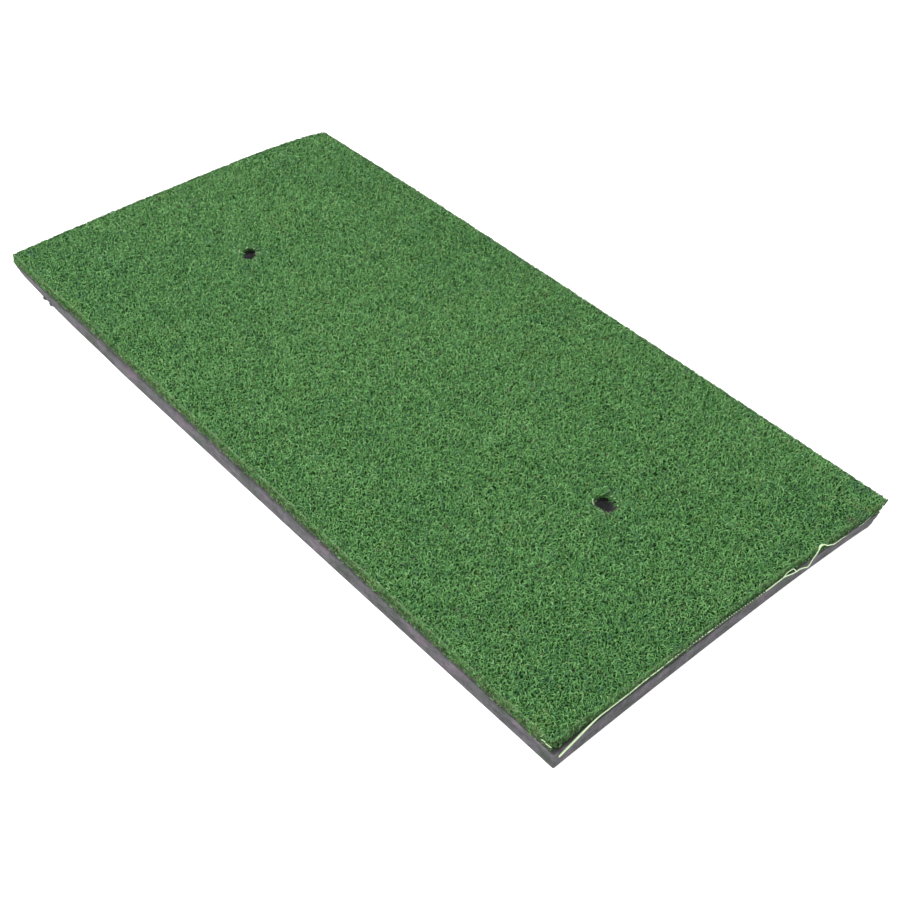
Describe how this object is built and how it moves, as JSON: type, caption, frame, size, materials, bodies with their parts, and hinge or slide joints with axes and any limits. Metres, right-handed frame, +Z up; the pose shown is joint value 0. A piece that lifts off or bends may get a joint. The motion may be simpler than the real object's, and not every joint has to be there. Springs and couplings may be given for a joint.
{
  "type": "golf hitting mat",
  "caption": "Flat rectangular golf practice mat of curled green artificial turf on a grey foam pad, pierced by two round tee holes near the ends of its long centreline.",
  "frame": {"origin": "centre of the mat's underside", "axes": "+X along the 600 mm side towards the end with the pulled yarn, +Y along the 300 mm side, +Z up out of the turf"},
  "size_m": [0.6029, 0.3, 0.0206],
  "materials": {
    "foam": "matt closed-cell foam with cut edges",
    "glue": "thin hot-melt film",
    "backing": "matt latex coat",
    "scrim": "pale plain-woven tape",
    "pile": "curled synthetic grass fibre",
    "yarn": "pale loose backing yarn"
  },
  "bodies": {
    "root": {"foam_base": "foam", "glue_film": "glue", "backing_coat": "backing", "woven_scrim": "scrim", "turf_pile": "pile", "loose_edge_yarn": "yarn"}
  },
  "joints": []
}
